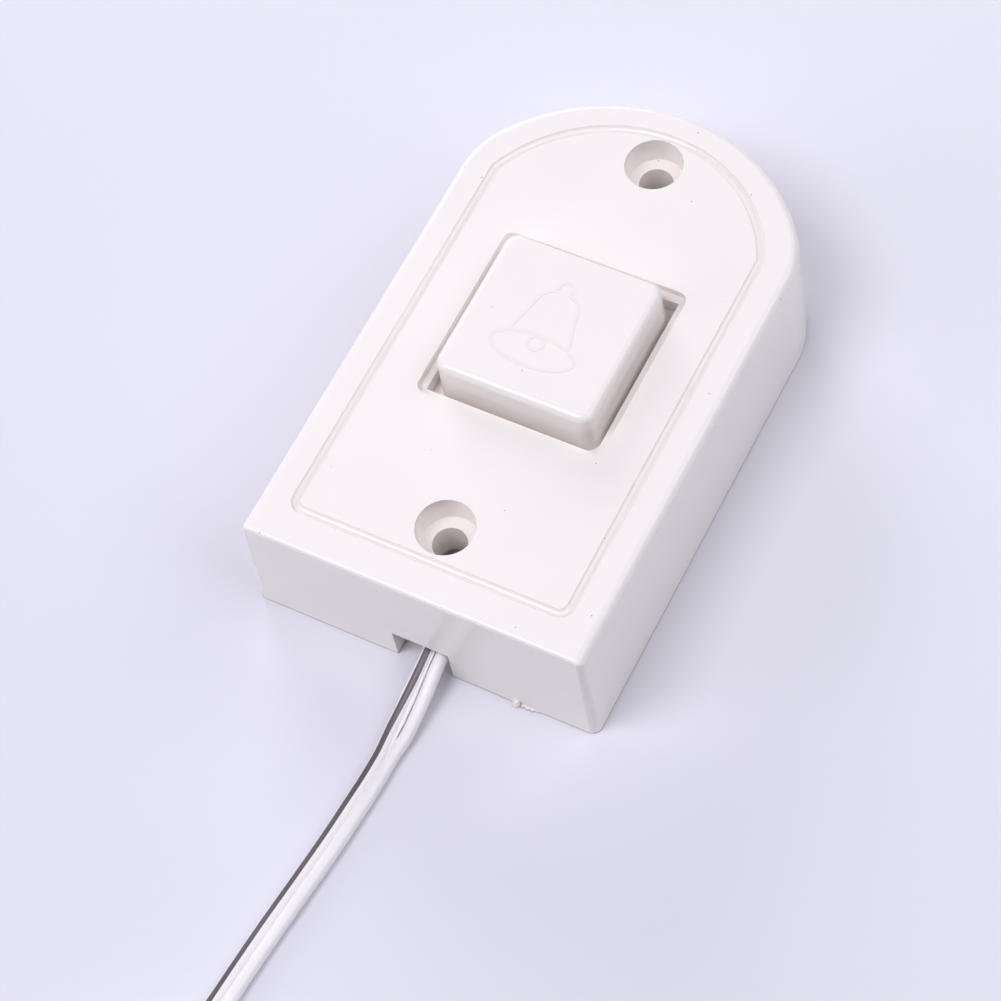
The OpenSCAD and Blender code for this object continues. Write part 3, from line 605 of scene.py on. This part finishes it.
# Return spring, wound smooth at one length and carried by the housing; the real one shortens as the
# button goes down
SPRING_LOW, SPRING_HIGH = 1.85, 7.75
SPRING_WIRE, SPRING_MID_R, SPRING_TURNS, SPRING_POINTS = 0.6, 3.3, 4.5, 40
SPRING_Y = 0.2
turns = np.arange(int(SPRING_TURNS * SPRING_POINTS) + 1) / SPRING_POINTS
coil = np.column_stack([
    SPRING_MID_R * np.cos(2 * math.pi * turns),
    SPRING_Y + SPRING_MID_R * np.sin(2 * math.pi * turns),
    SPRING_LOW + SPRING_WIRE / 2 + (SPRING_HIGH - SPRING_LOW - SPRING_WIRE) * turns / SPRING_TURNS,
])
bm = bmesh.new()
tube(bm, coil, np.zeros(len(coil)), 1, SPRING_WIRE / 2, False)
spring = finish_mesh("spring_coil", bm, spring_steel)
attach(spring, "housing")
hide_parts("return_spring")
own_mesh(spring)

# Crumb of moulding flash at the front wall's lower edge, on a ragged lip
FLASH_R = 0.5
FLASH_MID = out(12.05, 0.5, FLASH_R)
LUMP_COARSE, LUMP_FINE = 0.25, 0.18
LIP_AT = (8, 11.4, 12.4, 13.9, 15.4)
LIP_W = (0, 0.08, 0.3, 0.34, 0)
LIP_IN, LIP_OUT, LIP_H, LIP_STEP = 0.1, 0.28, 0.3, 0.12
LIP_RAGGED = ((0.3, 9, 0), (0.2, 23, 0))
bm = bmesh.new()
bmesh.ops.create_icosphere(bm, subdivisions=2, radius=1)
for vert in bm.verts:
    x, y, z = vert.co
    coarse = LUMP_COARSE * math.sin(5 * x + 2) * math.sin(4 * z + 1)
    fine = LUMP_FINE * math.sin(9 * y + 3 * x)
    point = FLASH_MID + (1 + coarse + fine) * FLASH_R * np.array([x, y, z])
    vert.co = MM * np.array([point[0], point[1], max(point[2], 0)])
lip_line = np.array([out(x, LIP_OUT, 0) for x in np.arange(LIP_AT[0], LIP_AT[-1], LIP_STEP)])
lip_sections = []
for x in lip_line[:, 0]:
    w = np.interp(x, LIP_AT, LIP_W) * (1 + ripple(x, LIP_RAGGED))
    lip_sections.append([(-LIP_IN, LIP_H), (w, LIP_H / 2), (w, 0), (-LIP_IN, 0)])
strip(bm, lip_line, np.zeros(len(lip_line)), lip_sections)
edge_flash = finish_mesh("edge_flash", bm, housing_white)
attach(edge_flash, "housing")

# Floor, lighter towards the back and a little to the right: painted light, standing in for the fall-off
# of the lamps' light
FLOOR_NEAR_DIM, FLOOR_FAR_LIT = (0.72, 0.712, 0.768), (0.812, 0.803, 0.852)
FLOOR_BACKWARDS, FLOOR_REACH = (0.2, 0.98, 0), 0.1
FLOOR_ROUGH = 0.55
FLOOR_HALF, FLOOR_CELLS, FLOOR_DROP = 2.0, 8, 0.00002
floor_material, tree, shader = new_material("floor_lavender")
coords = add(tree, "ShaderNodeTexCoord")
depth = add(tree, "ShaderNodeVectorMath", operation="DOT_PRODUCT")
tree.links.new(coords.outputs["Object"], depth.inputs[0])
depth.inputs[1].default_value = FLOOR_BACKWARDS
# Painted light: the floor's tone rises towards the back
fade = spread(tree, depth.outputs["Value"], 0, 1, -FLOOR_REACH, FLOOR_REACH)
tree.links.new(ramp(tree, fade, FLOOR_NEAR_DIM, FLOOR_FAR_LIT, 0, 1), shader.inputs["Base Color"])
shader.inputs["Roughness"].default_value = FLOOR_ROUGH
bm = bmesh.new()
bmesh.ops.create_grid(bm, x_segments=FLOOR_CELLS, y_segments=FLOOR_CELLS, size=FLOOR_HALF)
floor = finish_mesh("floor", bm, floor_material)
floor.location = (0, 0, -FLOOR_DROP)

# Lights: each soft disk's height over the floor and bearing from +X, in degrees, and its watts
LAMPS = {
    "key_back_left": (18, 135, 6.0),
    "key_top_left": (65, 240, 6.1),
    "fill_left": (18, 225, 1.7),
    "fill_front_left": (40, 225, 1.3),
    "fill_right": (40, 0, 2.0),
    "fill_back_right": (40, 45, 2.15),
    "top_right": (65, 0, 2.5),
}
LAMP_AWAY, LAMP_SIZE = 1.1, 0.6
TINT = (0.97, 0.97, 1.06)
WORLD_STRENGTH = 0.01
for name, (height, bearing, watts) in LAMPS.items():
    data = bpy.data.lights.new(name, "AREA")
    data.shape = "DISK"
    data.size = LAMP_SIZE
    data.energy = watts
    data.color = TINT
    lamp = bpy.data.objects.new(name, data)
    h, b = math.radians(height), math.radians(bearing)
    level = LAMP_AWAY * math.cos(h)
    lamp.location = (level * math.cos(b), level * math.sin(b), LAMP_AWAY * math.sin(h))
    lamp.rotation_euler = (-lamp.location).to_track_quat("-Z", "Y").to_euler()
    scene.collection.objects.link(lamp)
world = bpy.data.worlds.new("studio")
scene.world = world
world.use_nodes = True
background = world.node_tree.nodes["Background"]
background.inputs["Color"].default_value = (*TINT, 1)
background.inputs["Strength"].default_value = WORLD_STRENGTH
